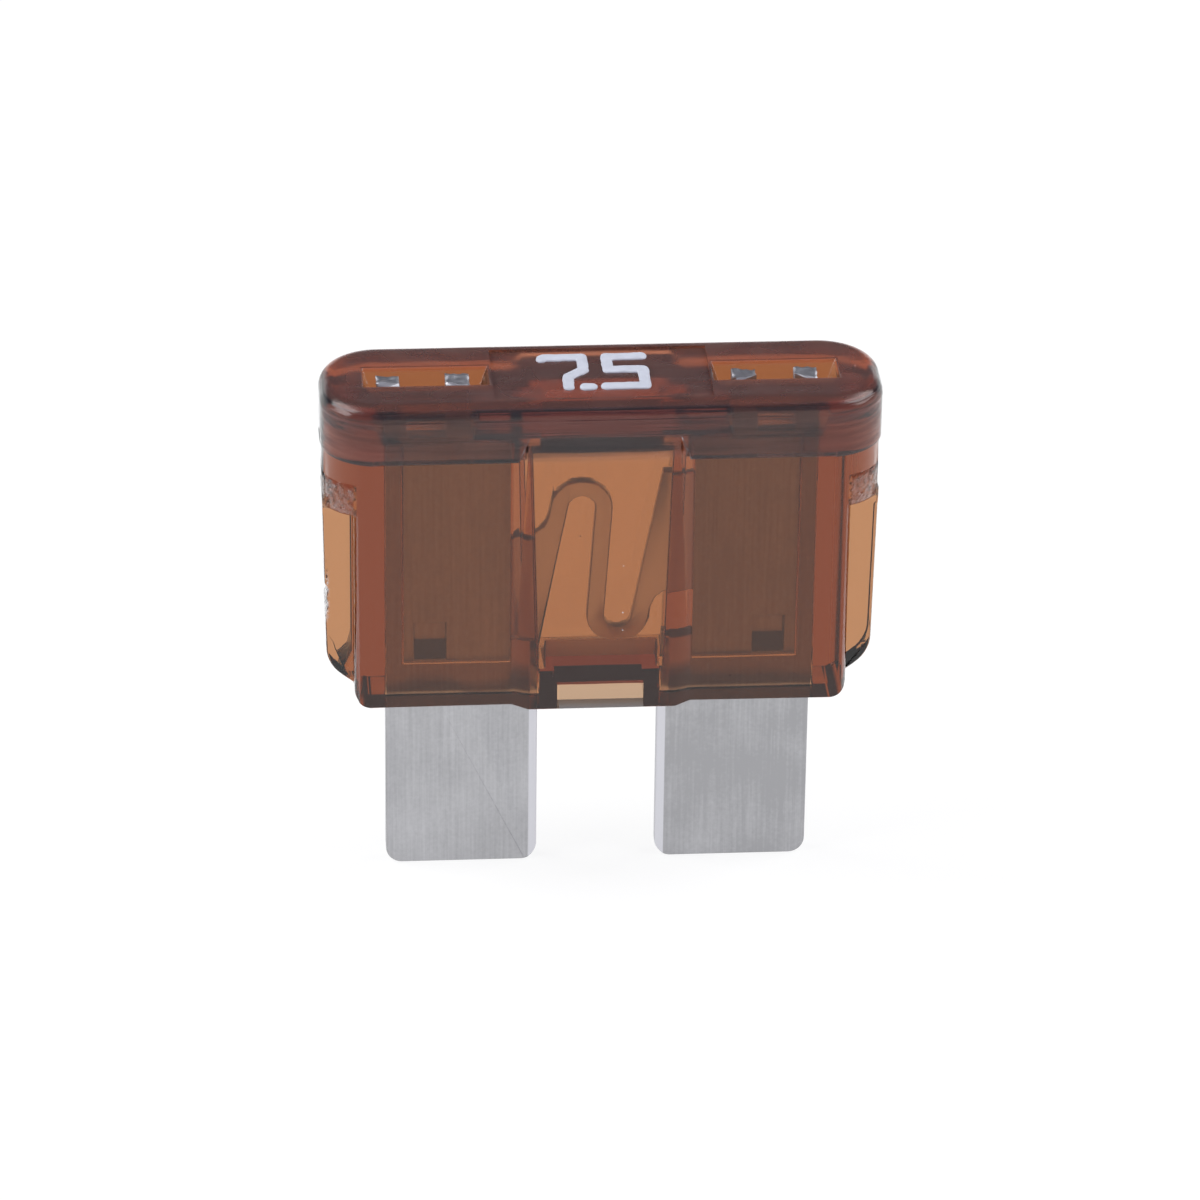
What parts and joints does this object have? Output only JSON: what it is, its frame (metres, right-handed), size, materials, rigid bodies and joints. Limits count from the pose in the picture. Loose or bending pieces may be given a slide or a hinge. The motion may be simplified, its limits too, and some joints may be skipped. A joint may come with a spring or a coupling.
{
  "type": "automotive blade fuse",
  "caption": "Plug-in blade fuse: see-through brown plastic housing with a wide cap, two flat zinc blades and an S-shaped link seen in its window.",
  "frame": {"origin": "middle of the two blade tips, on the fuse's middle planes", "axes": "+X along the row of the two blades, +Y to the back, +Z from the blade tips to the top of the cap"},
  "size_m": [0.0188, 0.0052, 0.0185],
  "materials": {
    "housing_plastic": "clear moulded, tinted brown",
    "zinc": "satin rolled strip",
    "white_ink": "matt print"
  },
  "bodies": {
    "root": {"housing": "housing_plastic", "fuse_element": "zinc", "rating_numerals": "white_ink"}
  },
  "joints": []
}
